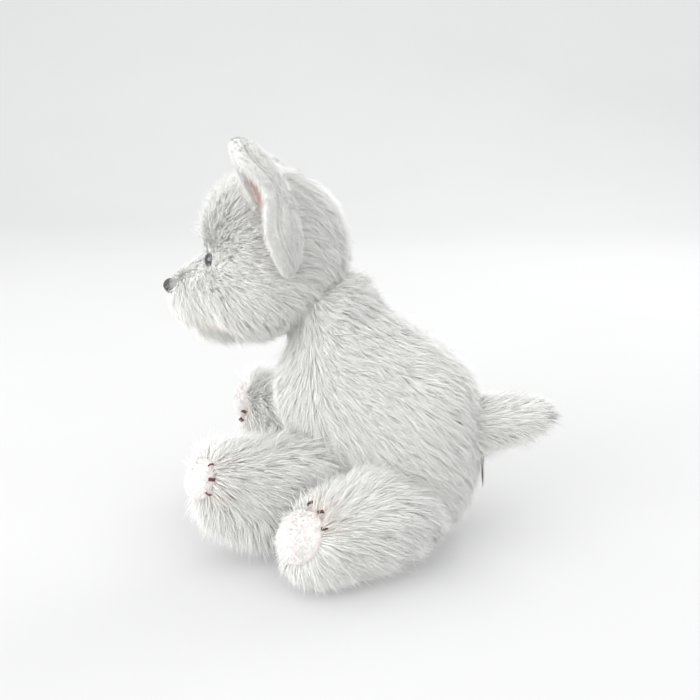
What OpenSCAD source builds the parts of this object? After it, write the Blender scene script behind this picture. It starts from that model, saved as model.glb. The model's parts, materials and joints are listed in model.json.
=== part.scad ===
// Seated plush terrier puppy: long-pile fur panels over fibre filling, with a pellet bag in the
// seat. It faces -Y with its left side at +X, and the origin is on the surface under its middle.

/* [Overall] */
// Length of the sitting toy from nose to tail end
toy_length = 167; // [145:1:190]

/* [Fabric] */
// Thickness of the fur fabric, its backing and lying pile together
skin_t = 5.5; // [4:0.5:6]
// Thickness of the short-pile ear fabric
short_t = 2; // [1.5:0.5:2.5]
// Gap left at a sewn seam between two panels
seam_gap = 0.2; // [0.1:0.1:0.3]
// Gap between pieces that move against each other
joint_gap = 0.6; // [0.5:0.1:0.8]

/* [Face] */
// Diameter of a bead eye
eye_d = 7; // [6:0.5:8]
// Width of the nose
nose_w = 9; // [8:0.5:11]
// Thickness of the thread in the mouth and toe stitches
thread_d = 1.2; // [1:0.1:1.5]

/* [Movement] */
// How far the head nods each way, in degrees
nod_travel = 12; // [5:1:12]

/* [Hidden] */
$fn = 24;
k = toy_length / 167;
tiny = 0.01;
big = 400 * k;

// A soft form is the hull of balls, each [centre, radii].
torso_balls = [
    [[0, 14, 32], [33, 38, 36]],
    [[0, 20, 56], [31, 32, 31]],
    [[0, -9, 66], [29, 28, 30]],
    [[0, -7, 89], [24, 22, 20]]
];
skull_balls = [
    [[0, -33.5, 125], [32, 31.5, 32]],
    [[16, -42, 106], [19, 19, 19]],
    [[-16, -42, 106], [19, 19, 19]]
];
muzzle_balls = [
    [[0, -45, 107], [20, 20, 20]],
    [[0, -62, 102.5], [17, 17.5, 17.5]],
    [[0, -70, 103.5], [11, 11, 11]]
];
front_left_balls = [[[24, -19, 37], [12, 12, 12]], [[29, -37, 28], [18, 18, 18]], [[38, -52, 35.5], [14.5, 14.5, 14.5]]];
front_right_balls = [[[-24, -19, 40], [12, 12, 12]], [[-31, -36, 38], [17, 17, 17]], [[-40, -52, 44], [14.5, 14.5, 14.5]]];
hind_left_balls = [[[33, 17, 20], [16, 16, 16]], [[38.5, 8, 20.5], [20, 20, 20.5]], [[52, -10, 17.5], [17.5, 17.5, 17.5]]];
hind_right_balls = [for (b = hind_left_balls) [[-b[0][0], b[0][1], b[0][2]], b[1]]];
tail_balls = [[[0, 48, 51], [12, 12, 12]], [[0, 75.5, 56.5], [8, 8, 8]]];

// Neck: the head's movement is centred here, about an axis that leans forward.
neck_at = [0, -17, 97] * k;
neck_lean = 31;
neck_r = 19 * k;
neck_wedge = nod_travel / 2 + 2;

// Gap round the tail's root, wide enough for it to wag
wag_gap = 1.3;

// Panels
gusset_w = 24 * k;
belly_w = 34 * k;
pellet_h = 26 * k;
// Room for the front and hind legs in the filling: from how far out, to how far back and how high
fill_cuts = [[10.4, -6.4, 60], [16.4, 34, 46]] * k;
sole_r = 10.5 * k;
hind_sole_r = 13 * k;

// Which way each sole faces, and the middle toe stitch's turn about that direction
front_left_sole = [[66, -69, 30], 106];
front_right_sole = [[35, -93, 5], 40];
hind_left_sole = [[62, -56, 55], 155];
hind_right_sole = [[-62, -56, 55], 205];

// Face
eye_at = [15, -57.5, 120] * k;
eye_out = [26, 68];
nose_at = [0, -80.5, 106] * k;
nose_r = 3 * k;
shank_r = 1.4;
shank_l = 9;
nose_shank_l = 13;
washer_r = 5;
washer_t = 1.2;
mouth_top = [0, -79.8, 103] * k;
mouth_low = [0, -77.8, 96] * k;
mouth_end = [6, -74.2, 92] * k;

// Ears
ear_at = [35, -23, 117.5] * k;
ear_l = 54.5 * k;
ear_r = 12.5 * k;
ear_lean = [21, -6, 12];
tipped_ear_lean = [38, -6, 12];
ear_steps = 12;
ear_open = -3 * k;

// Care label, folded in the seam under the tail
label_size = [14, 1, 12] * k;
label_at = [0, 51, 36] * k;

// ---- Shared shapes ----

module blob(balls, grow = 0) {
    hull()
        for (b = balls)
            translate(b[0] * k)
                scale(b[1] * k + [grow, grow, grow])
                    sphere(1);
}

module skin_of(balls) {
    difference() {
        blob(balls);
        blob(balls, -skin_t);
    }
}

module head_form(grow = 0) {
    blob(skull_balls, grow);
    blob(muzzle_balls, grow);
}

module mirrored_x(side) {
    if (side < 0)
        mirror([1, 0, 0]) children();
    else
        children();
}

// Everything above the plane z = 0
module above() {
    translate([-big / 2, -big / 2, 0]) cube(big);
}

// Turns local +Z towards the direction v
module along(v) {
    len_xy = norm([v[0], v[1]]);
    rotate([0, atan2(len_xy, v[2]), atan2(v[1], v[0])]) children();
}

module stitch(a, b) {
    translate(a) along(b - a) cylinder(h = norm(b - a), d = thread_d);
}

// ---- Room for moving pieces ----

// Outline of a limb's balls as distance from the hinge axis against place along it
module limb_outline(balls) {
    root = balls[0][0];
    intersection() {
        hull()
            for (b = balls)
                translate([norm([b[0][1] - root[1], b[0][2] - root[2]]), b[0][0] - root[0]] * k)
                    circle(b[1][0] * k + joint_gap);
        translate([0, -big / 2]) square([big, big]);
    }
}

// What a limb sweeps as it swings about X through its root, between two heights in degrees
module limb_sweep(balls, low, high) {
    root = balls[0][0] * k;
    translate(root) {
        rotate([90, 0, 90]) rotate([0, 0, 180 - high])
            rotate_extrude(angle = high - low) limb_outline(balls);
        sphere(balls[0][1][0] * k + joint_gap);
    }
}

module front_room() {
    limb_sweep(front_left_balls, -140, 125);
    limb_sweep(front_right_balls, -140, 125);
}

module hind_room() {
    limb_sweep(hind_left_balls, -180, 180);
    limb_sweep(hind_right_balls, -180, 180);
}

// Space between the torso's top and the head's underside, seen from the neck's centre
module neck_room(up) {
    slope = tan(neck_wedge);
    translate(neck_at) {
        rotate([neck_lean, 0, 0])
            rotate_extrude()
                polygon([[0, 0], [big / 2, -up * slope * big / 2], [big / 2, up * big / 2], [0, up * big / 2]]);
        sphere(neck_r + joint_gap);
    }
}

module tail_room() {
    translate(tail_balls[0][0] * k) sphere(tail_balls[0][1][0] * k + wag_gap);
}

module torso_room() {
    front_room();
    hind_room();
    neck_room(1);
    tail_room();
}

// ---- Torso ----

module belly_region(grow = 0) {
    width = belly_w + 2 * grow;
    intersection() {
        translate([-width / 2, -big / 2, -big / 2]) cube([width, big, big]);
        translate([0, 0, 60 * k + grow]) rotate([-42, 0, 0]) rotate([180, 0, 0]) above();
    }
}

module torso_skin() {
    intersection() {
        difference() {
            skin_of(torso_balls);
            torso_room();
        }
        above();
    }
}

module torso_side(side) {
    color("#e9e9e3")
        difference() {
            torso_skin();
            belly_region(seam_gap);
            translate([side > 0 ? -big + seam_gap / 2 : -seam_gap / 2, -big / 2, -big / 2]) cube(big);
        }
}

module torso_panel_left() { torso_side(1); }

module torso_panel_right() { torso_side(-1); }

// The seat's bottom is closed flat, where the toy rests
module belly_panel() {
    color("#e4e4dd")
        intersection() {
            difference() {
                blob(torso_balls);
                intersection() {
                    blob(torso_balls, -skin_t);
                    translate([0, 0, skin_t]) above();
                }
                torso_room();
            }
            above();
            belly_region();
        }
}

// The filling stands clear of the legs behind flat sides
module torso_fill() {
    intersection() {
        difference() {
            blob(torso_balls, -skin_t - seam_gap);
            for (cut = fill_cuts, side = [-1, 1])
                mirrored_x(side)
                    translate([cut[0], cut[1] - big, -1]) cube([big, big, cut[2] + 1]);
            neck_room(1);
            tail_room();
        }
        translate([0, 0, skin_t + seam_gap]) above();
    }
}

module torso_stuffing() {
    color("#f7f7f5")
        difference() {
            torso_fill();
            translate([0, 0, pellet_h + seam_gap - big]) above();
        }
}

module pellet_bag() {
    color("#d8d2c4")
        difference() {
            torso_fill();
            translate([0, 0, pellet_h]) above();
        }
}

module care_label() {
    color("#f4f1ea")
        translate(label_at) rotate([3, 0, 0])
            translate([-label_size[0] / 2, 0, -label_size[2]]) cube(label_size);
}

// ---- Neck ----

module neck_panel() {
    color("#e9e9e3")
        translate(neck_at)
            difference() {
                sphere(neck_r);
                sphere(neck_r - skin_t);
            }
}

module neck_stuffing() {
    color("#f7f7f5") translate(neck_at) sphere(neck_r - skin_t - seam_gap);
}

// ---- Head ----

module eye_axis(side) {
    mirrored_x(side) translate(eye_at) rotate([0, 0, eye_out[0]]) rotate([eye_out[1] + 20, 0, 0]) children();
}

// The eyes' and nose's own room in the head's skin
module face_room() {
    for (side = [-1, 1])
        eye_axis(side) {
            sphere(eye_d / 2 + seam_gap);
            translate([0, 0, -shank_l - tiny]) cylinder(h = shank_l, r = shank_r + seam_gap);
        }
    nose_form(seam_gap);
    translate(nose_at) rotate([-90, 0, 0]) cylinder(h = nose_shank_l, r = shank_r + seam_gap);
}

module head_skin() {
    difference() {
        head_form();
        head_form(-skin_t);
        neck_room(-1);
        face_room();
    }
}

// Strip from the nose over the crown to the nape, and below it the chin
module gusset_region(grow = 0) {
    width = gusset_w + 2 * grow;
    translate([-width / 2, -big / 2, -big / 2]) cube([width, big, big]);
}

module over_mouth() {
    translate([0, -60, 95] * k) rotate([3, 0, 0]) above();
    translate([-big / 2, -20 * k, -big / 2]) cube(big);
}

module head_side(side) {
    color("#ebebe5")
        difference() {
            head_skin();
            gusset_region(seam_gap);
            translate([side > 0 ? -big : 0, -big / 2, -big / 2]) cube(big);
        }
}

module head_panel_left() { head_side(1); }

module head_panel_right() { head_side(-1); }

module head_gusset() {
    color("#efefea")
        intersection() {
            head_skin();
            gusset_region();
            translate([0, 0, seam_gap]) over_mouth();
        }
}

module chin_panel() {
    color("#dfdfd8")
        intersection() {
            difference() {
                head_skin();
                over_mouth();
            }
            gusset_region();
        }
}

module head_stuffing() {
    color("#f7f7f5")
        difference() {
            head_form(-skin_t - seam_gap);
            neck_room(-1);
            for (side = [-1, 1])
                eye_axis(side)
                    translate([0, 0, -shank_l - seam_gap - tiny])
                        cylinder(h = shank_l + 1, r = washer_r + seam_gap);
            translate(nose_at) rotate([-90, 0, 0])
                cylinder(h = nose_shank_l + seam_gap, r = washer_r + seam_gap);
        }
}

module bead_eye(side) {
    color("#101012")
        eye_axis(side) {
            sphere(eye_d / 2);
            translate([0, 0, -shank_l]) cylinder(h = shank_l, r = shank_r);
        }
}

module washer() {
    difference() {
        cylinder(h = washer_t, r = washer_r);
        translate([0, 0, -1]) cylinder(h = washer_t + 2, r = shank_r + 0.05);
    }
}

module eye_washer(side) {
    color("#c9c9c9") eye_axis(side) translate([0, 0, -shank_l + 1]) washer();
}

module eye_left() { bead_eye(1); }

module eye_right() { bead_eye(-1); }

module eye_washer_left() { eye_washer(1); }

module eye_washer_right() { eye_washer(-1); }

module nose_form(grow = 0) {
    r = nose_r + grow;
    lobe_x = nose_w * k / 2 - nose_r;
    translate(nose_at)
        hull() {
            for (side = [-1, 1]) translate([side * lobe_x, 0, 0.8 * k]) sphere(r);
            translate([0, 0.6 * k, -1.6 * k]) sphere(r * 0.7);
        }
}

module nose() {
    color("#0c0c0e") {
        nose_form();
        translate(nose_at) rotate([-90, 0, 0]) cylinder(h = nose_shank_l, r = shank_r);
    }
}

module nose_washer() {
    color("#c9c9c9") translate(nose_at + [0, nose_shank_l - 2, 0]) rotate([-90, 0, 0]) washer();
}

module mouth_stitch() {
    color("#7a5650") {
        stitch(mouth_top, mouth_low);
        for (side = [-1, 1])
            stitch(mouth_low + [side * thread_d, 0, -thread_d], [side * mouth_end[0], mouth_end[1], mouth_end[2]]);
    }
}

// ---- Ears ----

// The right ear is tipped further forward
module ear_frame(side) {
    lean = side > 0 ? ear_lean : tipped_ear_lean;
    mirrored_x(side) translate(ear_at) rotate(lean) children();
}

// Pointed oval turned about the ear's length
module ear_spindle(inset) {
    half = ear_l / 2 - inset;
    r = ear_r - inset;
    rotate_extrude()
        polygon([for (i = [0:ear_steps]) let (a = -90 + 180 * i / ear_steps) [r * cos(a), ear_l / 2 + half * sin(a)]]);
}

module ear_layer(side, from, to) {
    difference() {
        ear_frame(side)
            difference() {
                ear_spindle(from);
                ear_spindle(to);
                translate([-big / 2, ear_open - big, -big / 2]) cube(big);
            }
        head_form(joint_gap + 0.3);
    }
}

module ear_back(side) {
    color("#e3e3dc") ear_layer(side, 0, short_t);
}

module ear_lining(side) {
    color("#d9b0a8") ear_layer(side, short_t + seam_gap, 2 * short_t);
}

module ear_back_left() { ear_back(1); }

module ear_back_right() { ear_back(-1); }

module ear_lining_left() { ear_lining(1); }

module ear_lining_right() { ear_lining(-1); }

// ---- Legs ----

function limb_end(balls) = let (n = len(balls)) balls[n - 1][0] * k;

// Round patch on the paw, facing that way
module sole_region(balls, facing, r) {
    translate(limb_end(balls)) along(facing[0]) cylinder(h = 40 * k, r = r);
}

module leg_panel(balls, facing, r) {
    color("#e6e6df")
        intersection() {
            difference() {
                skin_of(balls);
                sole_region(balls, facing, r + seam_gap);
            }
            above();
        }
}

module sole(balls, facing, r) {
    color("#cfcfc8")
        intersection() {
            skin_of(balls);
            sole_region(balls, facing, r);
            above();
        }
}

module leg_stuffing(balls) {
    color("#f7f7f5")
        intersection() {
            blob(balls, -skin_t - seam_gap);
            translate([0, 0, skin_t]) above();
        }
}

// Three short threads across the sole's upper edge
module toe_stitches(balls, facing, r) {
    paw_r = balls[len(balls) - 1][1][0] * k;
    out = sqrt(paw_r * paw_r - r * r);
    color("#4a2c22")
        translate(limb_end(balls)) along(facing[0])
            for (a = [-32, 0, 32])
                rotate([0, 0, facing[1] + a])
                    stitch([r - 2 * k, 0, out + 1.6 * k], [r + 1.4 * k, 0, out - 2.4 * k]);
}

module front_leg_left() { leg_panel(front_left_balls, front_left_sole, sole_r); }

module front_leg_right() { leg_panel(front_right_balls, front_right_sole, sole_r); }

module hind_leg_left() { leg_panel(hind_left_balls, hind_left_sole, hind_sole_r); }

module hind_leg_right() { leg_panel(hind_right_balls, hind_right_sole, hind_sole_r); }

module front_sole_left() { sole(front_left_balls, front_left_sole, sole_r); }

module front_sole_right() { sole(front_right_balls, front_right_sole, sole_r); }

module hind_sole_left() { sole(hind_left_balls, hind_left_sole, hind_sole_r); }

module hind_sole_right() { sole(hind_right_balls, hind_right_sole, hind_sole_r); }

module front_toe_stitches_left() { toe_stitches(front_left_balls, front_left_sole, sole_r); }

module front_toe_stitches_right() { toe_stitches(front_right_balls, front_right_sole, sole_r); }

module hind_toe_stitches_left() { toe_stitches(hind_left_balls, hind_left_sole, hind_sole_r); }

module hind_toe_stitches_right() { toe_stitches(hind_right_balls, hind_right_sole, hind_sole_r); }

module front_stuffing_left() { leg_stuffing(front_left_balls); }

module front_stuffing_right() { leg_stuffing(front_right_balls); }

module hind_stuffing_left() { leg_stuffing(hind_left_balls); }

module hind_stuffing_right() { leg_stuffing(hind_right_balls); }

// ---- Tail ----

module tail_panel() {
    color("#dedfd8") skin_of(tail_balls);
}

module tail_stuffing() {
    color("#f7f7f5") blob(tail_balls, -skin_t - seam_gap);
}

torso_panel_left();
torso_panel_right();
belly_panel();
torso_stuffing();
pellet_bag();
care_label();
neck_panel();
neck_stuffing();
head_panel_left();
head_panel_right();
head_gusset();
chin_panel();
head_stuffing();
eye_left();
eye_right();
eye_washer_left();
eye_washer_right();
nose();
nose_washer();
mouth_stitch();
ear_back_left();
ear_lining_left();
ear_back_right();
ear_lining_right();
front_leg_left();
front_sole_left();
front_toe_stitches_left();
front_stuffing_left();
front_leg_right();
front_sole_right();
front_toe_stitches_right();
front_stuffing_right();
hind_leg_left();
hind_sole_left();
hind_toe_stitches_left();
hind_stuffing_left();
hind_leg_right();
hind_sole_right();
hind_toe_stitches_right();
hind_stuffing_right();
tail_panel();
tail_stuffing();
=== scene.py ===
"""Seated plush terrier puppy. Smooth stuffed skins are built inside the frame's fabric panels, and every skin
then gets its pile as real strands: long silky pile on the body, short pile on the ears and soles.
Lengths are millimetres until a mesh is made, and metres in Blender."""
import json
import math

import bmesh
import bpy
import numpy as np
from mathutils import Euler, Matrix, Vector, kdtree


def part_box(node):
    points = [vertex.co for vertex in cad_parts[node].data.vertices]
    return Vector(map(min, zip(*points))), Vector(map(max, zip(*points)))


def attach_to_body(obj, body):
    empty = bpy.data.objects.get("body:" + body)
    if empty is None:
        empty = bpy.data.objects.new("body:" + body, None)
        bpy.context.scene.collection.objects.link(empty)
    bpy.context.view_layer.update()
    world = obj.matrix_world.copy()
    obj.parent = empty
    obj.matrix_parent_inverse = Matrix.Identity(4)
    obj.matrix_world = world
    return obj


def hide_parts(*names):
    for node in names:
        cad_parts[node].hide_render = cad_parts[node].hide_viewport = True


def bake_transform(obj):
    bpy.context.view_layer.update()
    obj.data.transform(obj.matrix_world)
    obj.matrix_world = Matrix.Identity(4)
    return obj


MM = 0.001
SEED = 20

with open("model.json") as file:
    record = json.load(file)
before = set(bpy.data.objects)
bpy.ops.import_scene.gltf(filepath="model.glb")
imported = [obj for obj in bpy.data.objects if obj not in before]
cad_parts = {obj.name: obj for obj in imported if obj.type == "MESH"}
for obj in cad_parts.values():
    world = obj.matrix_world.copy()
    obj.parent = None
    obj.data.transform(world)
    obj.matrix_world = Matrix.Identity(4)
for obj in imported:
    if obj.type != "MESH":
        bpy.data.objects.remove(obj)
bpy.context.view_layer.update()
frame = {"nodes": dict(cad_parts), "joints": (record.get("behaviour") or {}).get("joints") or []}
joints = {j["name"]: j for j in frame["joints"]}

# ---- Sizes, in mm ----
PILE_DEPTH = 4.4        # how far the backing lies under the pile's outer surface
VOXEL = 2.0             # remesh size of a skin
FLOOR_CLEAR = 0.5       # lowest point of a skin
STRAND_FLOOR = 0.2      # lowest point of a strand
LONG_W = 0.235          # width of a lock of long pile at its root
SHORT_W = 0.2           # width of a tuft of short pile
LONG_DENSITY = 6.0      # locks per square mm
SHORT_DENSITY = 7.0     # tufts per square mm
MAX_STRANDS = 19900     # strands in one piece
SOFT_SHARE = 0.45       # how much of a strand's shading normal comes from the skin under it
CLUMP_AREA = 5.0        # square mm of backing that leans together
TINT_AND_SHADE_TONE = 0.12        # tones below this take the brownish tint: painted shade along the mouth's crease, and a tint round the toe stitches and the ear roots
# The brownish tint: painted shade along the mouth's crease, and a tint round the toe stitches and the ear
# roots
TINT_AND_SHADE = (0.82, 0.71, 0.66)

# ---- The stuffed forms, each a list of balls (centre, radii) whose hull is one form ----
TORSO = [[((0, 14, 32), (33, 38, 36)), ((0, 20, 56), (31, 32, 31)),
          ((0, -9, 66), (29, 28, 30)), ((0, -7, 89), (24, 22, 20))],
         [((0, -7, 85), (22, 21, 20)), ((0, -15, 101), (21, 21, 18))]]
HEAD = [[((0, -34.5, 125), (32, 31.5, 32)), ((16, -42, 106), (19, 19, 19)), ((-16, -42, 106), (19, 19, 19))],
        [((0, -45, 107), (20, 20, 20)), ((0, -62, 102.5), (17, 17.5, 17.5)), ((0, -70, 103.5), (11, 11, 11))],
        [((12, -44, 107), (17, 17, 17)), ((-12, -44, 107), (17, 17, 17)), ((0, -52, 116), (13, 13, 13)),
         ((0, -63, 104), (15, 15, 15))]]
FRONT_LEFT = [((24, -19, 37), (12, 12, 12)), ((29, -37, 28), (18, 18, 18)),
              ((38, -52, 35.5), (14.5, 14.5, 14.5))]
FRONT_RIGHT = [((-24, -19, 40), (12, 12, 12)), ((-31, -36, 38), (17, 17, 17)),
               ((-40, -52, 44), (14.5, 14.5, 14.5))]
HIND_LEFT = [((33, 17, 20), (16, 16, 16)), ((38.5, 8, 20.5), (20, 20, 20.5)),
             ((52, -10, 17.5), (17.5, 17.5, 17.5))]
HIND_RIGHT = [((-c[0], c[1], c[2]), r) for c, r in HIND_LEFT]
TAIL = [((0, 46, 51), (12, 12, 12)), ((0, 73, 56), (8, 8, 8))]

NECK_LEAN = math.radians(31)
NECK_AXIS = np.array([0.0, -math.sin(NECK_LEAN), math.cos(NECK_LEAN)])
NECK_AT = np.array([0.0, -17.0, 97.0])
NOSE_AT = np.array([0.0, -80.5, 106.0])
NOSE_W = 9.0            # width of the nose
EAR_L, EAR_R = 54.5, 12.5   # length and half width of an ear
EAR_LEANS = {"left": (21, -6, 12), "right": (38, -6, 12)}
# Each leg's balls, its sole's radius and which way the sole faces
LEGS = {"front_leg_left": (FRONT_LEFT, 10.5, (66, -69, 30)),
        "front_leg_right": (FRONT_RIGHT, 10.5, (35, -93, 5)),
        "hind_leg_left": (HIND_LEFT, 13, (62, -56, 55)),
        "hind_leg_right": (HIND_RIGHT, 13, (-62, -56, 55))}


def joint_at(name):
    return np.array(joints[name]["pos_m"], float) / MM


# ---- Small tools ----

def unit(v):
    return v / np.maximum(np.linalg.norm(v, axis=-1, keepdims=True), 1e-9)


def smooth_step(x, low, high):
    t = np.clip((x - low) / (high - low), 0, 1)
    return t * t * (3 - 2 * t)


def mix(a, b, w):
    return a * (1 - w[:, None]) + b * w[:, None]


def waves(p, size, rng, count=7):
    """Smooth random vectors of about unit size over the points p, with features about size mm across."""
    out = np.zeros((len(p), 3))
    for _ in range(count):
        k = rng.normal(size=3) * (math.tau / size / 1.6)
        out += np.sin(p @ k + rng.uniform(0, math.tau))[:, None] * rng.normal(size=3)
    return out / math.sqrt(count / 2 * 3)


def new_object(name, data):
    ob = bpy.data.objects.new(name, data)
    bpy.context.scene.collection.objects.link(ob)
    return ob


def mesh_from(name, verts_mm, faces):
    me = bpy.data.meshes.new(name)
    me.from_pydata([tuple(v) for v in np.asarray(verts_mm) * MM], [], [tuple(f) for f in faces])
    me.update()
    return me


def closed_object(name, verts_mm, faces, mat):
    """A smooth solid with its faces turned outward."""
    me = mesh_from(name, verts_mm, faces)
    bm = bmesh.new()
    bm.from_mesh(me)
    bmesh.ops.recalc_face_normals(bm, faces=bm.faces)
    bm.to_mesh(me)
    bm.free()
    me.shade_smooth()
    me.materials.append(mat)
    return new_object(name, me)


def triangle_mesh(name, verts_mm, tris):
    """A mesh made quickly from arrays."""
    me = bpy.data.meshes.new(name)
    me.vertices.add(len(verts_mm))
    me.vertices.foreach_set("co", (np.asarray(verts_mm) * MM).astype(np.float32).ravel())
    me.loops.add(len(tris) * 3)
    me.loops.foreach_set("vertex_index", np.asarray(tris, np.int32).ravel())
    me.polygons.add(len(tris))
    me.polygons.foreach_set("loop_start", np.arange(0, len(tris) * 3, 3, dtype=np.int32))
    me.update(calc_edges=True)
    return me


def applied(ob):
    """Replaces ob's mesh with what its modifiers make, and drops them."""
    bpy.context.view_layer.update()
    done = bpy.data.meshes.new_from_object(ob.evaluated_get(bpy.context.evaluated_depsgraph_get()))
    ob.modifiers.clear()
    ob.data = done


def vertex_array(me):
    co = np.zeros(len(me.vertices) * 3, np.float32)
    me.vertices.foreach_get("co", co)
    return co.reshape(-1, 3).astype(float) / MM


def set_vertices(me, co_mm):
    me.vertices.foreach_set("co", (co_mm * MM).astype(np.float32).ravel())
    me.update()


# ---- Materials ----

def material(name):
    m = bpy.data.materials.new(name)
    m.use_nodes = True
    tree = m.node_tree
    return m, tree, tree.nodes["Principled BSDF"]


def node(tree, kind, **sockets):
    n = tree.nodes.new(kind)
    for key, value in sockets.items():
        n.inputs[key.replace("_", " ")].default_value = value
    return n


def ramp(tree, source, stops):
    """A colour ramp over a node's value output. stops are (place, (r, g, b))."""
    r = tree.nodes.new("ShaderNodeValToRGB")
    while len(r.color_ramp.elements) < len(stops):
        r.color_ramp.elements.new(0.5)
    for e, (place, rgb) in zip(r.color_ramp.elements, stops):
        e.position = place
        e.color = (*rgb, 1)
    tree.links.new(source, r.inputs["Fac"])
    return r.outputs["Color"]


def bump(tree, shader, source, strength, distance):
    b = node(tree, "ShaderNodeBump", Strength=strength, Distance=distance)
    tree.links.new(source, b.inputs["Height"])
    tree.links.new(b.outputs["Normal"], shader.inputs["Normal"])


def object_point(tree):
    return tree.nodes.new("ShaderNodeTexCoord").outputs["Object"]


def noise_of(tree, scale, detail=3.0, rough=0.5):
    n = node(tree, "ShaderNodeTexNoise", Scale=scale, Detail=detail, Roughness=rough)
    tree.links.new(object_point(tree), n.inputs["Vector"])
    return n.outputs["Fac"]


def pile_material(name, root, tip, rough, sheen):
    """Strands carry their tone as u and their place from root to tip as v. Each strand is darker towards its
    root: painted shade deep in the pile.
    """
    m, tree, shader = material(name)
    uv = tree.nodes.new("ShaderNodeUVMap")
    uv.uv_map = "OFBake"
    split = tree.nodes.new("ShaderNodeSeparateXYZ")
    tree.links.new(uv.outputs["UV"], split.inputs["Vector"])
    # Darker at the root than at the tip: painted shade deep in the pile.
    along = ramp(tree, split.outputs["Y"], [(0.0, root), (0.55, tip), (1.0, tip)])
    # The lowest tones shade into the brownish tint, which at the mouth's crease is painted shade.
    tone = ramp(tree, split.outputs["X"], [(0.0, TINT_AND_SHADE), (TINT_AND_SHADE_TONE, (0.9, 0.9, 0.9)),
                                           (0.5, (0.97, 0.97, 0.965)), (1.0, (1, 1, 1))])
    product = tree.nodes.new("ShaderNodeMix")
    product.data_type = "RGBA"
    product.blend_type = "MULTIPLY"
    product.inputs["Factor"].default_value = 1.0
    tree.links.new(along, product.inputs["A"])
    tree.links.new(tone, product.inputs["B"])
    tree.links.new(product.outputs["Result"], shader.inputs["Base Color"])
    shader.inputs["Roughness"].default_value = rough
    shader.inputs["Sheen Weight"].default_value = sheen
    shader.inputs["Specular IOR Level"].default_value = 0.5
    return m


def cloth_material(name, low, high, scale, bump_depth, rough=0.9, sheen=0.3):
    """A knitted or napped ground: fine noise in colour and relief."""
    m, tree, shader = material(name)
    fac = noise_of(tree, scale)
    tree.links.new(ramp(tree, fac, [(0.3, low), (0.7, high)]), shader.inputs["Base Color"])
    bump(tree, shader, noise_of(tree, scale * 2.5), 0.6, bump_depth)
    shader.inputs["Roughness"].default_value = rough
    shader.inputs["Sheen Weight"].default_value = sheen
    return m


def gloss_material(name, low, high, rough, coat):
    """Moulded plastic with faint flow marks."""
    m, tree, shader = material(name)
    fac = noise_of(tree, 420.0, 2.0)
    tree.links.new(ramp(tree, fac, [(0.2, low), (0.8, high)]), shader.inputs["Base Color"])
    bump(tree, shader, noise_of(tree, 900.0, 2.0), 0.08, 0.0001)
    shader.inputs["Roughness"].default_value = rough
    shader.inputs["Coat Weight"].default_value = coat
    shader.inputs["Coat Roughness"].default_value = 0.05
    return m


def thread_material(name, low, high):
    """Twisted thread: slanting bands along its length."""
    m, tree, shader = material(name)
    w = node(tree, "ShaderNodeTexWave", Scale=900.0, Distortion=1.5, Detail=1.0)
    w.bands_direction = "DIAGONAL"
    tree.links.new(object_point(tree), w.inputs["Vector"])
    tree.links.new(ramp(tree, w.outputs["Fac"], [(0.2, low), (0.8, high)]), shader.inputs["Base Color"])
    bump(tree, shader, w.outputs["Fac"], 0.7, 0.0002)
    shader.inputs["Roughness"].default_value = 0.7
    return m


def weave_material(name, low, high):
    """Ribbon: two sets of fine bands at right angles."""
    m, tree, shader = material(name)
    bands = []
    for direction in ("X", "Z"):
        w = node(tree, "ShaderNodeTexWave", Scale=700.0)
        w.bands_direction = direction
        tree.links.new(object_point(tree), w.inputs["Vector"])
        bands.append(w.outputs["Fac"])
    both = tree.nodes.new("ShaderNodeMath")
    both.operation = "MULTIPLY"
    for i, b in enumerate(bands):
        tree.links.new(b, both.inputs[i])
    tree.links.new(ramp(tree, both.outputs[0], [(0.0, low), (0.6, high)]), shader.inputs["Base Color"])
    bump(tree, shader, both.outputs[0], 0.5, 0.0002)
    shader.inputs["Roughness"].default_value = 0.55
    return m


def bead_material(name, low, high):
    """Pellets seen through their bag."""
    m, tree, shader = material(name)
    v = node(tree, "ShaderNodeTexVoronoi", Scale=330.0)
    tree.links.new(object_point(tree), v.inputs["Vector"])
    tree.links.new(ramp(tree, v.outputs["Distance"], [(0.0, high), (0.6, low)]), shader.inputs["Base Color"])
    bump(tree, shader, v.outputs["Distance"], -0.8, 0.001)
    shader.inputs["Roughness"].default_value = 0.6
    return m


# Each pile's first colour is at its roots and its second at its tips; the darker roots are painted shade deep
# in the pile.
WHITE_PILE = pile_material("long_pile", (0.93, 0.93, 0.885), (0.965, 0.967, 0.932), 0.34, 0.2)
SHORT_PILE = pile_material("short_pile", (0.78, 0.78, 0.74), (0.88, 0.885, 0.855), 0.55, 0.3)
LINING_PILE = pile_material("lining_pile", (0.66, 0.48, 0.44), (0.82, 0.72, 0.68), 0.65, 0.3)
BACKING = cloth_material("backing", (0.88, 0.88, 0.85), (0.95, 0.95, 0.93), 900.0, 0.0006)
EAR_CLOTH = cloth_material("ear_cloth", (0.72, 0.72, 0.69), (0.80, 0.80, 0.775), 1100.0, 0.0003)
LINING_CLOTH = cloth_material("lining_cloth", (0.54, 0.36, 0.32), (0.66, 0.49, 0.45), 1100.0, 0.0003)
SOLE_CLOTH = cloth_material("sole_cloth", (0.82, 0.75, 0.73), (0.88, 0.83, 0.81), 1100.0, 0.0003)
SOLE_PILE = pile_material("sole_pile", (0.86, 0.85, 0.83), (0.90, 0.9, 0.88), 0.55, 0.3)
BLACK_GLOSS = gloss_material("black_gloss", (0.004, 0.004, 0.005), (0.012, 0.012, 0.014), 0.12, 1.0)
NOSE_GLOSS = gloss_material("nose_gloss", (0.006, 0.006, 0.007), (0.02, 0.018, 0.018), 0.25, 0.7)
TOE_THREAD = thread_material("toe_thread", (0.05, 0.022, 0.018), (0.18, 0.09, 0.075))
MOUTH_THREAD = thread_material("mouth_thread", (0.30, 0.20, 0.16), (0.46, 0.34, 0.29))
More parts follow.
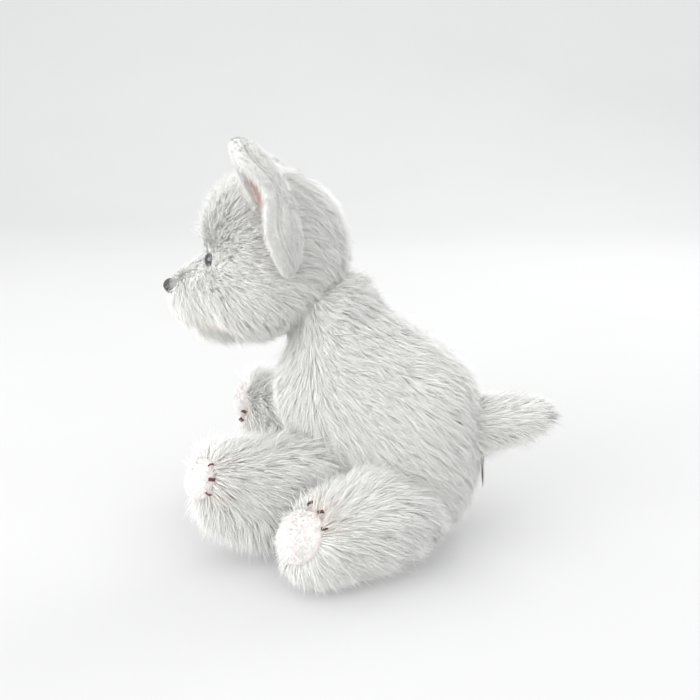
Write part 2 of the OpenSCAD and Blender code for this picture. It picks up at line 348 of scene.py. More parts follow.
RIBBON = weave_material("ribbon", (0.72, 0.69, 0.64), (0.86, 0.84, 0.80))
FIBRE = cloth_material("fibre_filling", (0.84, 0.84, 0.83), (0.94, 0.94, 0.93), 260.0, 0.002)
PELLETS = bead_material("pellets", (0.42, 0.38, 0.30), (0.68, 0.63, 0.53))
NYLON = gloss_material("nylon_washer", (0.62, 0.62, 0.60), (0.72, 0.72, 0.70), 0.35, 0.0)


# ---- Stuffed skins ----

def ball_points(ball, inset):
    bm = bmesh.new()
    bmesh.ops.create_icosphere(bm, subdivisions=4, radius=1.0)
    pts = np.array([v.co for v in bm.verts])
    bm.free()
    return pts * (np.array(ball[1]) - inset) + np.array(ball[0])


def hull_into(bm, points):
    made = [bm.verts.new(Vector(p * MM)) for p in points]
    result = bmesh.ops.convex_hull(bm, input=made)
    loose = {v for v in result["geom_interior"] + result["geom_unused"] if isinstance(v, bmesh.types.BMVert)}
    bmesh.ops.delete(bm, geom=[v for v in loose if v.is_valid], context="VERTS")


def plump(ob, cap):
    """Swells the stuffed skin with a short cloth simulation, moving no point further than cap mm."""
    scene = bpy.context.scene
    rest = vertex_array(ob.data)
    cloth = ob.modifiers.new("Cloth", "CLOTH")
    cloth.settings.use_pressure = True
    cloth.settings.uniform_pressure_force = 4.0
    cloth.settings.mass = 0.15
    cloth.settings.tension_stiffness = 12
    cloth.settings.compression_stiffness = 12
    cloth.settings.bending_stiffness = 0.6
    cloth.settings.effector_weights.gravity = 0
    frames = 20
    cloth.point_cache.frame_start, cloth.point_cache.frame_end = 1, frames
    for f in range(1, frames + 1):
        scene.frame_set(f)
    applied(ob)
    scene.frame_set(1)
    moved = vertex_array(ob.data) - rest
    length = np.linalg.norm(moved, axis=1, keepdims=True)
    set_vertices(ob.data, rest + moved * np.minimum(1, cap / np.maximum(length, 1e-6)))


def skin(name, forms, insets, smooth=4, cap=1.2):
    """A closed smooth skin over hulls of balls, plumped as cloth and then subdivided once."""
    bm = bmesh.new()
    for balls, inset in zip(forms, insets):
        hull_into(bm, np.vstack([ball_points(b, inset) for b in balls]))
    me = bpy.data.meshes.new(name)
    bm.to_mesh(me)
    bm.free()
    ob = new_object(name, me)
    remesh = ob.modifiers.new("Remesh", "REMESH")
    remesh.mode = "VOXEL"
    remesh.voxel_size = VOXEL * 2 * MM
    applied(ob)
    relax = ob.modifiers.new("Smooth", "SMOOTH")
    relax.factor, relax.iterations = 0.5, smooth
    applied(ob)
    plump(ob, cap)
    fine = ob.modifiers.new("Subdivision", "SUBSURF")
    fine.levels = fine.render_levels = 1
    applied(ob)
    co = vertex_array(ob.data)
    co[:, 2] = np.maximum(co[:, 2], FLOOR_CLEAR)
    set_vertices(ob.data, co)
    ob.data.materials.clear()
    ob.data.materials.append(BACKING)
    return ob


def groove(ob, distance, depth, width):
    """Pulls a seam into the skin. distance gives each point's distance from the seam's sheet, in mm."""
    co = vertex_array(ob.data)
    normals = np.zeros(len(co) * 3, np.float32)
    ob.data.vertices.foreach_get("normal", normals)
    pull = depth * np.exp(-(distance(co) / width) ** 2)
    set_vertices(ob.data, co - normals.reshape(-1, 3) * pull[:, None])


# ---- Pile ----

def surface(ob):
    """Vertices, triangles and vertex normals of a mesh, in mm."""
    me = ob.data
    me.calc_loop_triangles()
    tris = np.zeros(len(me.loop_triangles) * 3, np.int32)
    me.loop_triangles.foreach_get("vertices", tris)
    normals = np.zeros(len(me.vertices) * 3, np.float32)
    me.vertices.foreach_get("normal", normals)
    return vertex_array(me), tris.reshape(-1, 3), normals.reshape(-1, 3).astype(float)


def scatter(ob, density, rng, keep=None):
    """Random roots over a skin with their normals. keep gives each root's chance of staying."""
    v, t, n = surface(ob)
    a, b, c = (v[t[:, i]] for i in range(3))
    area = np.linalg.norm(np.cross(b - a, c - a), axis=1) / 2
    total = area.sum()
    count = int(total * density)
    pick = np.searchsorted(np.cumsum(area), rng.random(count) * total).clip(0, len(t) - 1)
    r1, r2 = np.sqrt(rng.random(count)), rng.random(count)
    w = np.stack([1 - r1, r1 * (1 - r2), r1 * r2], 1)
    p = sum(v[t[pick, i]] * w[:, i:i + 1] for i in range(3))
    nn = unit(sum(n[t[pick, i]] * w[:, i:i + 1] for i in range(3)))
    if keep is not None:
        stay = rng.random(count) < keep(p, nn)
        p, nn = p[stay], nn[stay]
    return p, nn


def nearest(points, queries):
    tree = kdtree.KDTree(len(points))
    for i, p in enumerate(points):
        tree.insert(p, i)
    tree.balance()
    return np.array([tree.find(q)[1] for q in queries], np.int64)


def tangent(direction, normal):
    flat = direction - (direction * normal).sum(1, keepdims=True) * normal
    return unit(flat)


def strand_mesh(name, spine, normal, width, tone):
    """Closed three-sided locks along spine, an array of strands by rings by 3. The last ring is the tip."""
    count, rings, _ = spine.shape
    body = rings - 1
    step = unit(np.gradient(spine, axis=1))
    side = unit(np.cross(step, normal[:, None, :]))
    up = np.cross(side, step)
    taper = np.linspace(1.0, 0.72, body)
    verts = np.zeros((count, body * 3 + 1, 3))
    for k in range(body):
        half = (width * taper[k] / 2)[:, None]
        verts[:, k * 3] = spine[:, k] + side[:, k] * half
        verts[:, k * 3 + 1] = spine[:, k] - side[:, k] * half
        verts[:, k * 3 + 2] = spine[:, k] + up[:, k] * half * 0.75
    verts[:, -1] = spine[:, -1]
    verts[:, :, 2] = np.maximum(verts[:, :, 2], STRAND_FLOOR)
    tris = [(0, 2, 1)]
    for k in range(body - 1):
        for i in range(3):
            j = (i + 1) % 3
            a, b, c, d = k * 3 + i, k * 3 + j, k * 3 + 3 + i, k * 3 + 3 + j
            tris += [(a, b, c), (b, d, c)]
    last = body * 3 - 3
    tris += [(last + i, last + (i + 1) % 3, body * 3) for i in range(3)]
    tris = np.array(tris)
    per = body * 3 + 1
    all_tris = (tris[None] + (np.arange(count) * per)[:, None, None]).reshape(-1, 3)
    me = triangle_mesh(name, verts.reshape(-1, 3), all_tris)
    v_of = np.array([k // 3 / body for k in range(body * 3)] + [1.0])
    u_of = np.array([(k % 3) * 0.01 for k in range(body * 3)] + [0.01])
    u = tone[:, None] * 0.96 + u_of[None]
    uv = np.stack([u, np.broadcast_to(v_of, u.shape) * 0.98 + 0.01], 2).reshape(-1, 2)
    layer = me.uv_layers.new(name="OFBake")
    layer.data.foreach_set("uv", uv[all_tris.ravel()].astype(np.float32).ravel())
    soften(me, verts, spine, normal)
    return me


def soften(me, verts, spine, normal):
    """Leans the strands' shading normals towards the skin's, as light scattered from lock to lock does."""
    ring = np.append(np.repeat(np.arange(spine.shape[1] - 1), 3), spine.shape[1] - 1)
    round_way = unit(verts - spine[:, ring] + 1e-6)
    share = (SOFT_SHARE * (1 - 0.35 * ring / ring[-1]))[:, None]
    mixed = unit(normal[:, None, :] * share + round_way * (1 - share))
    me.shade_smooth()
    held = me.attributes.new("custom_normal", "FLOAT_VECTOR", "POINT")
    held.data.foreach_set("vector", mixed.reshape(-1, 3).astype(np.float32).ravel())
    me.update()


def coat(ob, rng, comb, length, keep=None, density=LONG_DENSITY, width=LONG_W, lift=0.4, clump=0.14,
         ruffle=0.22, droop=0.08, rings=3, mottle=0.28, tint_and_shade=None):
    """Strands over a skin: spines, root normals, widths and tones. lift is the tips' height as a share of
    their length, clump how far a lock leans to its neighbours, and ruffle how far the comb wanders."""
    p, n = scatter(ob, density, rng, keep)
    long = length(p, n) * rng.uniform(0.8, 1.12, len(p))
    wanted = comb(p, n) + ruffle * waves(p, 17.0, rng) + ruffle * 0.6 * waves(p, 5.0, rng)
    direction = tangent(wanted + 0.02 * rng.normal(size=(len(p), 3)), n)
    guides, _ = scatter(ob, 1 / CLUMP_AREA, rng)
    near = nearest(guides, p)
    own = np.random.default_rng(SEED + len(guides)).normal(size=(len(guides), 3))
    lean = tangent(direction + 0.13 * own[near] + 0.07 * rng.normal(size=(len(p), 3)), n)
    lift = lift(p, n) if callable(lift) else lift
    rise = np.clip(lift * rng.uniform(0.75, 1.25, len(p)) * (1 + 0.12 * own[near, 0]), 0.12, 0.95)
    stray = rng.random(len(p)) < 0.08
    rise = np.where(stray, np.minimum(rise * 1.6, 0.95), rise)
    end_on = smooth_step(1 - np.linalg.norm(np.cross(unit(wanted), n), axis=1), 0.4, 0.9)
    end_on *= (wanted * n).sum(1).clip(0, 1)
    rise = np.maximum(rise, 0.95 * end_on)
    long *= 1 - 0.4 * end_on
    flat = np.sqrt(1 - rise ** 2)
    pull = (clump * rng.uniform(0.6, 1.2, len(p)))[:, None]
    pull = np.where(stray[:, None], 0.0, pull)
    toward = guides[near] - p
    toward -= (toward * n).sum(1, keepdims=True) * n
    spine = np.zeros((len(p), rings, 3))
    jitter = rng.normal(size=(len(p), 3)) * 0.05
    for k in range(rings):
        t = k / (rings - 1)
        up = rise * (1.35 * t - 0.35 * t * t)
        out = flat * (0.75 * t + 0.25 * t * t)
        at = p + long[:, None] * (n * up[:, None] + lean * out[:, None] + jitter * t * t)
        at += toward * pull * t ** 1.3
        at[:, 2] -= droop * long * t * t
        spine[:, k] = at
    spine[:, 0] -= n * 0.5
    tone = np.clip(0.55 + mottle * (0.8 * own[near, 1] + rng.normal(size=len(p))), TINT_AND_SHADE_TONE, 1)
    # Tinted strands take the lowest tones and turn brownish: painted shade along the mouth's crease, a tint
    # at the toes and the ear roots.
    if tint_and_shade is not None:
        tone = np.where(rng.random(len(p)) < tint_and_shade(p), 0.1 * tone, tone)
    wide = width * rng.uniform(0.75, 1.2, len(p))
    return {"spine": spine, "normal": n, "width": wide, "tone": tone, "root": p}


def coat_pieces(name, strands, mat, attach, panel=None):
    """Makes the strands into pieces. panel names each root's panel, and a full panel is split by height."""
    names = panel(strands["root"]) if panel else np.array([name] * len(strands["root"]))
    for one in sorted(set(names)):
        idx = np.flatnonzero(names == one)
        parts = max(1, math.ceil(len(idx) / MAX_STRANDS))
        order = idx[np.argsort(strands["root"][idx, 2], kind="stable")]
        for i, chosen in enumerate(np.array_split(order, parts)):
            title = one if parts == 1 else f"{one}_{i + 1}"
            me = strand_mesh(title, *(strands[k][chosen] for k in ("spine", "normal", "width", "tone")))
            me.materials.append(mat)
            ob = new_object(title, me)
            attach(ob)


def away(p, point):
    return unit(p - np.array(point, float))


def outside(p, points, radius):
    """0 within radius of any of the points, rising to 1 just past it."""
    near = np.min([np.linalg.norm(p - np.array(q, float), axis=1) for q in points], axis=0)
    return smooth_step(near, radius * 0.85, radius * 1.1)


def node_centre(name):
    low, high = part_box(name)
    return np.array((low + high) / 2) / MM


EYES = [node_centre("eye_left"), node_centre("eye_right")]
EAR_ROOTS = [joint_at("ear_left_flop"), joint_at("ear_right_flop")]


def toe_marks(node_name):
    """The middle of each thread in a node of toe stitches."""
    return [(a + b) / 2 for a, b in loose_ends(node_name)]


# ---- Each body's pieces get their placement baked into their meshes ----

def point_m(p):
    return tuple(float(x) * MM for x in p)


def torso_moves(ob):
    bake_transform(ob)


def head_moves(ob):
    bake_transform(ob)


def limb_moves():
    return lambda ob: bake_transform(ob)


# ---- Torso ----

def torso():
    rng = np.random.default_rng(SEED)
    ob = skin("torso_skin", TORSO, (PILE_DEPTH, PILE_DEPTH))
    groove(ob, lambda c: np.where(c[:, 1] > 5, c[:, 0], 99.0), 1.2, 1.8)
    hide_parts("torso_panel_left", "torso_panel_right", "belly_panel", "neck_panel")

    def comb(p, n):
        back = np.tile([0.0, 0.9, -0.28], (len(p), 1))
        rump = np.tile([0.0, 0.55, -0.75], (len(p), 1))
        chest = np.tile([0.0, -0.1, -1.0], (len(p), 1))
        d = mix(back, rump, smooth_step(p[:, 1], 25, 50))
        return mix(chest, d, smooth_step(p[:, 1], -26, -8))

    def length(p, n):
        return 10.5 - 1.5 * smooth_step(p[:, 2], 80, 100) - 2.0 * smooth_step(-p[:, 2], -14, -2)

    def keep(p, n):
        top = 1 - smooth_step((p - NECK_AT) @ NECK_AXIS, 4, 9)
        for balls, _, _ in LEGS.values():
            for centre, r in balls[:2]:
                top = top * smooth_step(np.linalg.norm(p - centre, axis=1), r[0] - 8, r[0] - 6)
        return top * smooth_step(p[:, 2], 1.5, 4)

    def panel(p):
        side = np.where(p[:, 0] > 0, "torso_pile_left", "torso_pile_right")
        return np.where(np.abs(p[:, 0]) + (p[:, 1] + 40) * 0.55 < 17, "torso_pile_front", side)

    def lift(p, n):
        nape = smooth_step((p - NECK_AT) @ NECK_AXIS, -9, 0) * smooth_step(p[:, 1], -16, -4)
        return 0.36 + 0.34 * nape

    strands = coat(ob, rng, comb, length, keep, lift=lift, ruffle=0.18)
    coat_pieces("torso_pile", strands, WHITE_PILE, torso_moves, panel)
    torso_moves(ob)


# ---- Head ----

def head():
    rng = np.random.default_rng(SEED + 1)
    ob = skin("head_skin", HEAD, (3.4, 1.0, 1.5))
    for side in (-1, 1):
        groove(ob, lambda c: np.where(c[:, 2] > 112, c[:, 0] - side * 12, 99.0), 0.7, 1.5)
    groove(ob, lambda c: np.where(c[:, 1] < -50, mouth_line(c), 99.0), 2.8, 1.8)
    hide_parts("head_panel_left", "head_panel_right", "head_gusset", "chin_panel")

    def ruff(p):
        """1 where the back of the head meets the neck, falling to 0 above and in front of it."""
        return (1 - smooth_step((p - NECK_AT) @ NECK_AXIS, 4, 20)) * smooth_step(p[:, 1], -36, -20)

    def comb(p, n):
        d = away(p, (0, -84, 112))
        d[:, 2] -= 0.5 * (1 - smooth_step(p[:, 2], 96, 120))
        eye = np.min([np.linalg.norm(p - e, axis=1) for e in EYES], axis=0)
        clear = np.where(p[:, :1] > 0, away(p, EYES[0]), away(p, EYES[1]))
        d = mix(clear, d, smooth_step(eye, 3.5, 7.5))
        back = np.stack([np.sign(p[:, 0]) * 0.1, np.full(len(p), 0.9), np.full(len(p), -0.35)], 1)
        d = mix(d, back, smooth_step(p[:, 1], -32, -12))
        return mix(d, np.tile([0.0, 0.45, -0.9], (len(p), 1)), ruff(p))

    def length(p, n):
        face = 4.6 + 4.9 * smooth_step(np.linalg.norm(p - NOSE_AT, axis=1), 5, 34)
        from_eye = np.min([np.linalg.norm(p - e, axis=1) for e in EYES], axis=0)
        face = np.minimum(face, 3.0 + 7 * smooth_step(from_eye, 4, 14))
        face += 1.5 * (1 - smooth_step(p[:, 2], 92, 104)) * (1 - smooth_step(p[:, 1], -60, -50))
        face *= 1 - 0.7 * np.exp(-((mouth_line(p) - 1.5) / 2.4) ** 2) * (p[:, 1] < -50)
        full = 7.5 + 5.0 * ruff(p) - 1.5 * smooth_step(p[:, 2], 122, 140)
        return face + (full - face) * smooth_step(p[:, 1], -45, -25)

    def keep(p, n):
        low = smooth_step((p - NECK_AT) @ NECK_AXIS, -8, -3)
        return low * outside(p, EYES, 3.7) * outside(p, [NOSE_AT + (0, 1.5, 0)], 2.9)

    def panel(p):
        side = np.where(p[:, 0] > 0, "head_pile_left", "head_pile_right")
        names = np.where(np.abs(p[:, 0]) < 10, "head_pile_gusset", side)
        return np.where((np.abs(p[:, 0]) < 12) & (p[:, 2] < 96), "head_pile_chin", names)

    def lift(p, n):
        by_nose = 1 - smooth_step(np.linalg.norm(p - NOSE_AT, axis=1), 5, 11)
        face = 0.26 + 0.4 * by_nose + 0.24 * smooth_step(p[:, 2], 120, 130)
        return face + (0.34 - face) * smooth_step(p[:, 1], -52, -30)

    # Painted shade along the crease where the lips meet, and a brownish tint round the ear roots where they
    # are sewn on.
    def tint_and_shade(p):
        mouth_crease_shade = np.exp(-((mouth_line(p) - 4.5) / 2.6) ** 2) * smooth_step(-p[:, 1], 48, 54)
        return np.maximum(0.7 * mouth_crease_shade, 0.7 * (1 - outside(p, EAR_ROOTS, 7)))

    strands = coat(ob, rng, comb, length, keep, lift=lift, ruffle=0.24, tint_and_shade=tint_and_shade)
    coat_pieces("head_pile", strands, WHITE_PILE, head_moves, panel)
    head_moves(ob)


def mouth_line(p):
    """Height over the line where the lips meet, in mm."""
    return p[:, 2] - 92 - 0.12 * (p[:, 1] + 60)


# ---- Legs and tail ----

def limb(body, seed):
    """A leg with its pile, its short-pile sole and its toe stitches."""
    rng = np.random.default_rng(seed)
    balls, sole_r, facing = LEGS[body]
    moves = limb_moves()
    end = np.array(balls[-1][0], float)
    paw_r = balls[-1][1][0]
    way = unit(np.array(facing, float))
    edge = math.asin(sole_r / paw_r)
    kind, side = body.split("_leg_")
    ob = skin(body + "_skin", [balls], (3.6,))
    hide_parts(body)

    def off_sole(p):
        """Angle round the paw from the middle of the sole, as a share of the sole's edge."""
        return np.arccos(np.clip(unit(p - end) @ way, -1, 1)) / edge

    def rooted(p):
        """0 at the paw, rising to 1 where the leg joins the torso."""
        return smooth_step(np.linalg.norm(p - end, axis=1), paw_r, paw_r * 2.2)

    def under(p, n):
        return smooth_step(-n[:, 2], 0.1, 0.7) * (kind == "front")

    def over(n):
        return smooth_step(n[:, 2], 0.1, 0.7)

    def comb(p, n):
        from_sole = away(p, end + way * (paw_r - 2))
        hang = np.tile([0.0, 0.8, -0.4], (len(p), 1))
        d = mix(from_sole, hang, rooted(p) * 0.85)
        return mix(d, d * 0.5 + [0.0, -0.1, -1.0], under(p, n))

    def length(p, n):
        fluff = (3.5 if kind == "front" else 2.0) * over(n)
        return 8.0 + smooth_step(off_sole(p), 1, 2) + 4.5 * rooted(p) + 4.5 * under(p, n) + fluff

    def keep(p, n):
        return smooth_step(off_sole(p), 0.8, 0.9) * smooth_step(p[:, 2], 1.2, 3)

    def lift(p, n):
        return 0.42 - 0.1 * rooted(p) + 0.28 * under(p, n) + 0.14 * over(n)

    marks = toe_marks(f"{kind}_toe_stitches_{side}")
    strands = coat(ob, rng, comb, length, keep, lift=lift, tint_and_shade=lambda p: 0.8 * (1 - outside(p, marks, 5.0)))
    coat_pieces(body + "_pile", strands, WHITE_PILE, moves)
    moves(ob)
    sole(f"{kind}_sole_{side}", end, way, paw_r, edge, rng, moves)
    stitches(f"{kind}_toe_stitches_{side}", TOE_THREAD, moves, 0.38)


def sole(node_name, end, way, paw_r, edge, rng, moves):
    """A domed pad of short-pile fabric let into the paw."""
    rings, around = 26, 64
    dome_r = paw_r - 1.9
    across = unit(np.cross(way, [0.0, 0.0, 1.0]))
    high = np.cross(across, way)
    verts = [end + way * dome_r]
    for i in range(1, rings + 1):
        a = edge * 1.08 * i / rings
        sunk = 2.4 * smooth_step(np.array([i / rings]), 0.82, 1.0)[0]
        for j in range(around):
            b = math.tau * j / around
            out = across * math.cos(b) + high * math.sin(b)
            verts.append(end + (way * math.cos(a) + out * math.sin(a)) * (dome_r - sunk))
    verts.append(end + way * (dome_r * math.cos(edge) - 4))
    faces = [(0, 1 + j, 1 + (j + 1) % around) for j in range(around)]
    for i in range(rings - 1):
        for j in range(around):
            a, b = 1 + i * around + j, 1 + i * around + (j + 1) % around
            faces.append((a, a + around, b + around, b))
    base = 1 + (rings - 1) * around
    faces += [(base + (j + 1) % around, base + j, len(verts) - 1) for j in range(around)]
    verts = np.array(verts)
    for a, b in loose_ends(node_name.replace("sole", "toe_stitches")):
        near = np.linalg.norm(verts - (a + b) / 2, axis=1)
        verts -= way * (1.2 * np.exp(-(near / 2.2) ** 2))[:, None]
    verts[:, 2] = np.maximum(verts[:, 2], STRAND_FLOOR)
    ob = closed_object(node_name + "_pad", verts, faces, SOLE_CLOTH)
    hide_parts(node_name)

    marks = toe_marks(node_name.replace("sole", "toe_stitches"))

    def facing(p, n):
        return (n @ way > 0.3) * smooth_step(p[:, 2], 0.6, 1.5) * (0.3 + 0.7 * outside(p, marks, 1.9))

    strands = coat(ob, rng, lambda p, n: away(p, end) + [0, 0.3, -0.4], lambda p, n: np.full(len(p), 1.9),
                   facing, density=SHORT_DENSITY, width=SHORT_W, lift=0.7, clump=0.1, ruffle=0.3, rings=2,
                   mottle=0.1, tint_and_shade=lambda p: 1 - outside(p, marks, 3.0))
    coat_pieces(node_name + "_pile", strands, SOLE_PILE, moves)
    moves(ob)


def loose_ends(node_name):
    """The two ends of each thread in a node of separate cylinders, in mm."""
    bm = bmesh.new()
    bm.from_mesh(frame["nodes"][node_name].data)
    bmesh.ops.remove_doubles(bm, verts=bm.verts, dist=1e-6)
    ends, left = [], set(bm.verts)
    while left:
        stack, group = [left.pop()], []
        while stack:
            v = stack.pop()
            group.append(v.co)
            for e in v.link_edges:
                other = e.other_vert(v)
                if other in left:
                    left.remove(other)
                    stack.append(other)
        pts = np.array(group) / MM
        centre = pts.mean(0)
        axis = np.linalg.svd(pts - centre)[2][0]
        reach = ((pts - centre) @ axis)
        ends.append((centre + axis * reach.min(), centre + axis * reach.max()))
    bm.free()
    return sorted(ends, key=lambda e: tuple(np.round(e[0] + e[1], 2)))


def thread_curve(name, routes, thick, mat):
    """Bevelled threads along short routes of points, pulled in at both ends, as one mesh."""
    cu = bpy.data.curves.new(name, "CURVE")
    cu.dimensions = "3D"
    cu.bevel_depth = thick * MM
    cu.bevel_resolution = 3
    cu.use_fill_caps = True
    for pts in routes:
        s = cu.splines.new("POLY")
        s.points.add(len(pts) - 1)
        for q, p in zip(s.points, pts):
            q.co = (*point_m(p), 1)
    ob = new_object(name, cu)
    me = bpy.data.meshes.new_from_object(ob.evaluated_get(bpy.context.evaluated_depsgraph_get()))
    bpy.data.objects.remove(ob)
    me.materials.clear()
    me.materials.append(mat)
    me.shade_smooth()
    return new_object(name, me)


def stitches(node_name, mat, moves, thick):
    """Three raised loops of thread, each two strands wide, where the node's threads are."""
    centre = node_centre(node_name)
    routes = []
    for a, b in loose_ends(node_name):
        a, b = a + (b - a) * 0.27, b + (a - b) * 0.27
        out = unit(((a + b) / 2 - centre) + 1e-6)
        side = unit(np.cross(b - a, out)) * thick * 0.9
        arch = unit(np.cross(side, b - a)) * 0.4
        for s in (-1, 1):
            routes.append([a + (b - a) * t + side * s + arch * math.sin(math.pi * t)
                           for t in np.linspace(0, 1, 9)])
    ob = thread_curve(node_name + "_thread", routes, thick, mat)
    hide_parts(node_name)
    moves(ob)


def tail():
    rng = np.random.default_rng(SEED + 9)
    moves = limb_moves()
    ob = skin("tail_skin", [TAIL], (3.2,), smooth=2)
    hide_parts("tail_panel")
    way = unit(np.array(TAIL[1][0], float) - np.array(TAIL[0][0], float))

    def under(n):
        return smooth_step(-n[:, 2], 0.0, 0.7)

    def comb(p, n):
        return way + under(n)[:, None] * [0.0, 0.0, -0.6]

    def length(p, n):
        return 9.5 - 2.5 * smooth_step(n @ way, 0.5, 1) + 3.5 * under(n)

    strands = coat(ob, rng, comb, length, lift=lambda p, n: 0.36 + 0.2 * under(n), droop=0.05, ruffle=0.2)
    coat_pieces("tail_pile", strands, WHITE_PILE, moves)
    moves(ob)


# ---- Ears ----

def ear_matrix(side):
    lean = Euler([math.radians(a) for a in EAR_LEANS[side]], "XYZ").to_matrix().to_4x4()
    place = Matrix.Translation(Vector(joint_at("ear_left_flop"))) @ lean
    return (Matrix.Scale(-1, 4, Vector((1, 0, 0))) @ place) if side == "right" else place


def ear_point(along, angle, inset):
    """A point of the cupped ear: along from 0 at its root to 1 at its tip, angle round it from its back
    towards its outer edge."""
    a = math.pi * (along - 0.5)
    r = max(EAR_R * math.cos(a) - inset, 0.05)
    height = EAR_L / 2 + (EAR_L / 2 - inset) * math.sin(a)
    return (r * math.sin(angle), r * math.cos(angle), height)


def ear_edges(along):
    """Angles of the ear's inner and outer edges. The outer edge folds back half way up."""
    fold = math.exp(-((along - 0.57) / 0.13) ** 2)
    return math.radians(-104), math.radians(99 - 31 * fold)


def seam_dip(across):
    """How far the back sinks across mm from its outer edge: a rolled rim and a double row of stitching."""
    return 0.55 * math.exp(-((across - 4.6) / 0.5) ** 2) + 0.35 * math.exp(-((across - 6.0) / 0.4) ** 2)


def ear_shell(m, name, outer, inner, mat, low, high, shrink=0.0, dips=False):
    """A closed cupped sheet between two insets, with rounded edges."""
    steps, turns, rim = 60, 110, 5
    rows = []
    for i in range(steps + 1):
        v = low + (high - low) * i / steps
        first, last = (a * (1 - shrink) for a in ear_edges(v))
        r_here = max(EAR_R * math.cos(math.pi * (v - 0.5)), 0.5)
        angles = [first + (last - first) * j / turns for j in range(turns + 1)]
        sunk = [seam_dip((last - a) * r_here) * min(1, r_here / 6) if dips else 0 for a in angles]
        row = [ear_point(v, a, outer + d) for a, d in zip(angles, sunk)]
        mid, half = (outer + inner) / 2, (inner - outer) / 2
        bends = [math.pi * q / rim for q in range(1, rim)]
        row += [ear_point(v, last + half * math.sin(b) / r_here, mid - half * math.cos(b)) for b in bends]
        row += [ear_point(v, a, inner) for a in reversed(angles)]
        row += [ear_point(v, first - half * math.sin(b) / r_here, mid + half * math.cos(b)) for b in bends]
        rows.append([m @ Vector(p) for p in row])
    wide = len(rows[0])
    faces = []
    for i in range(steps):
        for j in range(wide):
            k = (j + 1) % wide
            faces.append((i * wide + j, i * wide + k, (i + 1) * wide + k, (i + 1) * wide + j))
    faces.append(tuple(range(wide))[::-1])
    faces.append(tuple(steps * wide + j for j in range(wide)))
    return closed_object(name, np.array([p for row in rows for p in row]), faces, mat)


def ear(side, seed):
    rng = np.random.default_rng(seed)
    m = ear_matrix(side)
    base, tip = (np.array(m @ Vector((0, 0, h))) for h in (0, EAR_L))
    way = unit(tip - base)

    def moves(ob):
        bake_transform(ob)

    back = ear_shell(m, f"ear_back_{side}_shell", 0.5, 3.6, EAR_CLOTH, 0.03, 0.985, dips=True)
    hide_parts(f"ear_back_{side}")
    lining = ear_shell(m, f"ear_lining_{side}_shell", 3.4, 4.4, LINING_CLOTH, 0.08, 0.8, shrink=0.12)
    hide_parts(f"ear_lining_{side}")
    short = dict(density=SHORT_DENSITY, width=SHORT_W, lift=0.6, clump=0.2, ruffle=0.3, rings=2, mottle=0.2)
    strands = coat(back, rng, lambda p, n: np.tile(-way, (len(p), 1)),
                   lambda p, n: np.full(len(p), 2.1), **short)
    coat_pieces(f"ear_back_{side}_pile", strands, SHORT_PILE, moves)
    strands = coat(lining, rng, lambda p, n: np.tile(way, (len(p), 1)),
                   lambda p, n: np.full(len(p), 1.4), **short)
    coat_pieces(f"ear_lining_{side}_pile", strands, LINING_PILE, moves)
    moves(back)
    moves(lining)


# ---- Face ----

def nose():
    """A moulded three-cornered nose with two nostrils."""
    wide, tall, deep = NOSE_W / 2, 3.4, 3.2
    rings, around = 18, 40
    verts, faces = [(0, -deep, 0.4)], []
    for i in range(1, rings + 1):
        a = math.pi * i / (rings + 1)
        for j in range(around):
            b = math.tau * j / around
            x, z = math.cos(b), math.sin(b)
            lobe = 1.0 + 0.12 * math.cos(2 * b) - 0.10 * z
            taper = 1.0 if z > 0 else 1.0 - 0.38 * abs(z)
            verts.append((wide * x * lobe * taper * math.sin(a), -deep * math.cos(a),
                          tall * z * math.sin(a) + 0.4 * math.cos(a)))
    verts.append((0, deep, 0))
    faces += [(0, 1 + (j + 1) % around, 1 + j) for j in range(around)]
    for i in range(rings - 1):
        for j in range(around):
            a, b = 1 + i * around + j, 1 + i * around + (j + 1) % around
            faces.append((a, b, b + around, a + around))
    base = 1 + (rings - 1) * around
    faces += [(base + j, base + (j + 1) % around, len(verts) - 1) for j in range(around)]
    verts = np.array(verts)
    for s in (-1, 1):
        near = np.linalg.norm((verts - (s * 2.3, -2.4, -0.5)) / (1.0, 1.4, 0.8), axis=1)
        verts[:, 1] += 1.1 * np.exp(-(near / 0.9) ** 2)
    verts[:, 1] += 0.35 * np.exp(-(verts[:, 0] / 0.45) ** 2) * (verts[:, 1] < 0) * (verts[:, 2] < 1)
    ob = closed_object("nose_button", verts + NOSE_AT, faces, NOSE_GLOSS)
    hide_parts("nose")
    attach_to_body(ob, "head")


def mouth():
    """One thread down from the nose and one to each side."""
    routes = []
    for a, b in loose_ends("mouth_stitch"):
        routes.append([a + (b - a) * t + np.array([0, -1.0, -0.6]) * math.sin(math.pi * t) * 0.8
                       for t in np.linspace(0, 1, 11)])
    ob = thread_curve("mouth_thread", routes, 0.3, MOUTH_THREAD)
    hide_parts("mouth_stitch")
    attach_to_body(ob, "head")


